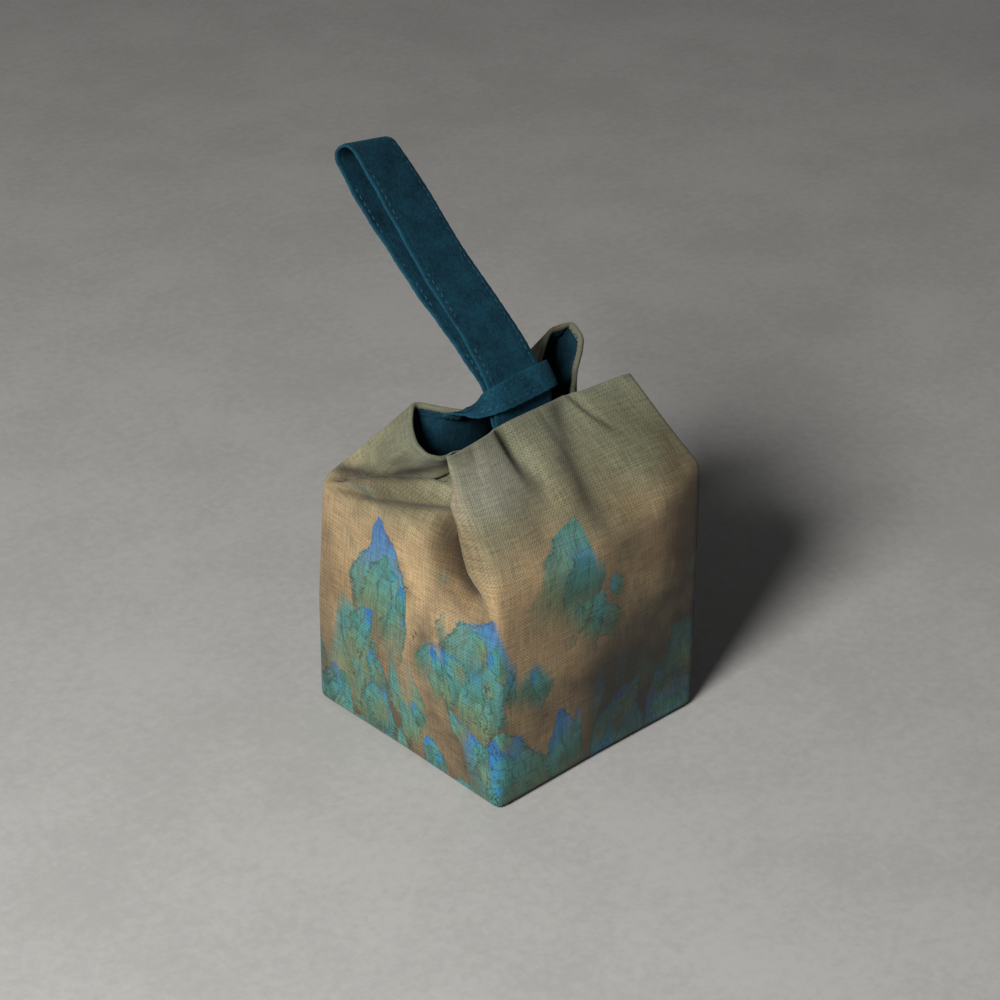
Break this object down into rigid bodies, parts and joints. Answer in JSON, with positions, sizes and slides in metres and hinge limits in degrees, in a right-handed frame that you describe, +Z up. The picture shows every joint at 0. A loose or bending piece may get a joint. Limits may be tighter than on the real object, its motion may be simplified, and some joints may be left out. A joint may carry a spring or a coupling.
{
  "type": "pull-through wrist-strap pouch",
  "caption": "Small square-bottomed lined cloth pouch, its mouth gathered by a wrist strap pulled through a keeper loop.",
  "frame": {"origin": "centre of the flat square base, on the surface it stands on", "axes": "+Z up out of the base, -Y out of the front wall that carries the strap's root, +X to the right seen from the front"},
  "size_m": [0.0974, 0.1218, 0.1907],
  "materials": {
    "printed_cloth": "plain-weave canvas, printed, matt",
    "lining_cloth": "short suede-like nap, matt",
    "strap_cloth": "short suede-like nap, matt, edges stitched",
    "keeper_cloth": "short suede-like nap, matt, edges stitched"
  },
  "bodies": {
    "root": {"outer_shell": "printed_cloth", "lining": "lining_cloth", "wrist_strap": "strap_cloth", "keeper_loop": "keeper_cloth"}
  },
  "joints": []
}
